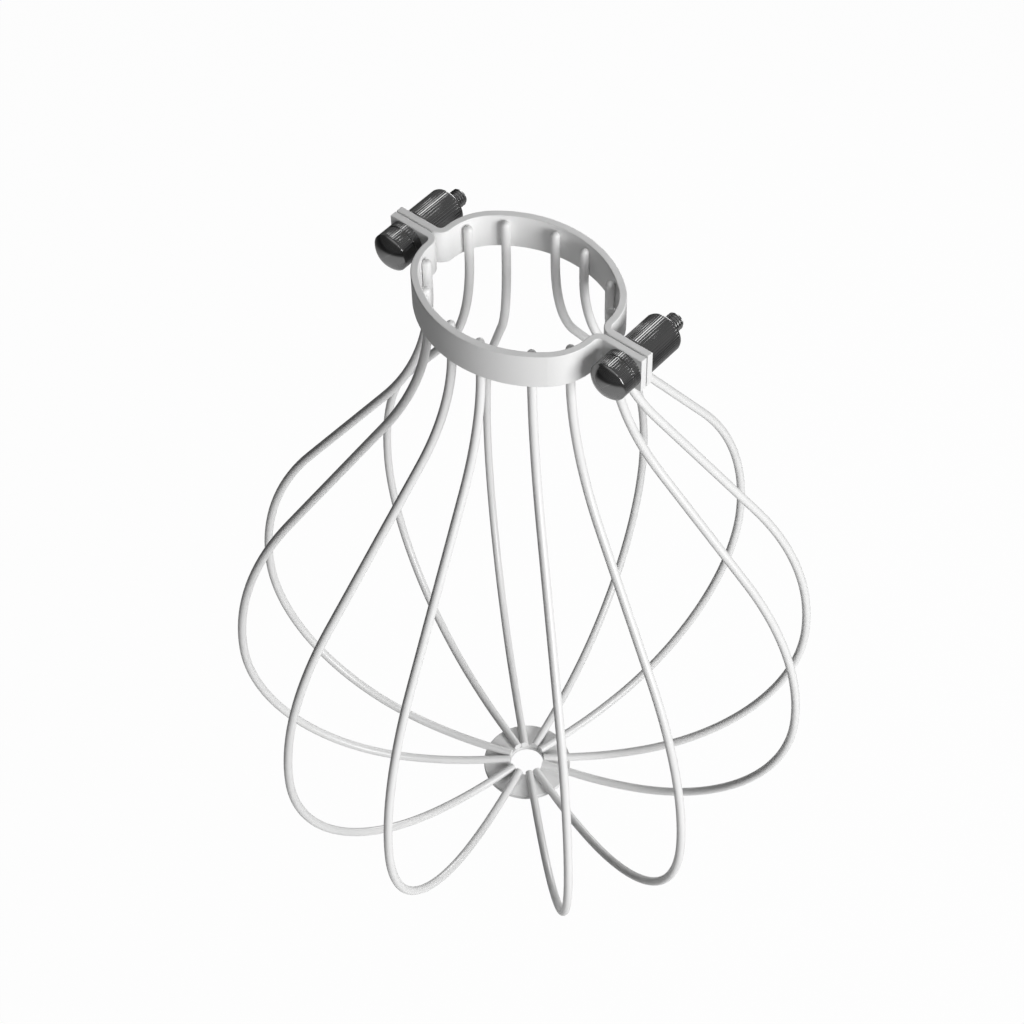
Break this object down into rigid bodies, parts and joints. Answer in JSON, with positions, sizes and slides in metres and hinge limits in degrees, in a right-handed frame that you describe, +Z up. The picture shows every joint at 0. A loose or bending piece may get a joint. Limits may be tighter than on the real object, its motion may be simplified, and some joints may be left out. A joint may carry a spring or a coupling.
{
  "type": "bulb cage guard",
  "caption": "Pear-shaped wire cage that guards a pendant lamp's bulb, clamped round the lamp holder by a split collar with knurled thumb screws and sleeve nuts.",
  "frame": {"origin": "on the cage's axis, at mid height of the collar", "axes": "+Z up along the cage's axis, +X towards one pair of ears, screw heads on the -Y side"},
  "size_m": [0.1634, 0.168, 0.2186],
  "materials": {
    "cage_paint": "gloss white paint on bent steel wire and strip",
    "black_hardware": "gloss black, straight knurl"
  },
  "bodies": {
    "cage": {"front_half_collar": "cage_paint", "rear_half_collar": "cage_paint", "front_wire_1": "cage_paint", "front_wire_2": "cage_paint", "front_wire_3": "cage_paint", "front_wire_4": "cage_paint", "front_wire_5": "cage_paint", "front_wire_6": "cage_paint", "rear_wire_1": "cage_paint", "rear_wire_2": "cage_paint", "rear_wire_3": "cage_paint", "rear_wire_4": "cage_paint", "rear_wire_5": "cage_paint", "rear_wire_6": "cage_paint", "bottom_disc": "cage_paint"},
    "right_screw": {"right_thumb_screw": "black_hardware"},
    "right_nut": {"right_sleeve_nut": "black_hardware"},
    "left_screw": {"left_thumb_screw": "black_hardware"},
    "left_nut": {"left_sleeve_nut": "black_hardware"}
  },
  "joints": [
    {"name": "right_screw_turn", "type": "hinge", "parent": "cage", "child": "right_screw", "pos_m": [0.0362, 0, 0], "axis": [0, -1, 0], "range_deg": [0, 1800]},
    {"name": "right_nut_travel", "type": "slide", "parent": "cage", "child": "right_nut", "axis": [0, 1, 0], "range_m": [0, 0.00401]},
    {"name": "left_screw_turn", "type": "hinge", "parent": "cage", "child": "left_screw", "pos_m": [-0.0362, 0, 0], "axis": [0, -1, 0], "range_deg": [0, 1800]},
    {"name": "left_nut_travel", "type": "slide", "parent": "cage", "child": "left_nut", "axis": [0, 1, 0], "range_m": [0, 0.00401]}
  ],
  "couplings": [
    {"joint": "right_nut_travel", "follows": "right_screw_turn", "m_per_rad": 0.00012732},
    {"joint": "left_nut_travel", "follows": "left_screw_turn", "m_per_rad": 0.00012732}
  ]
}
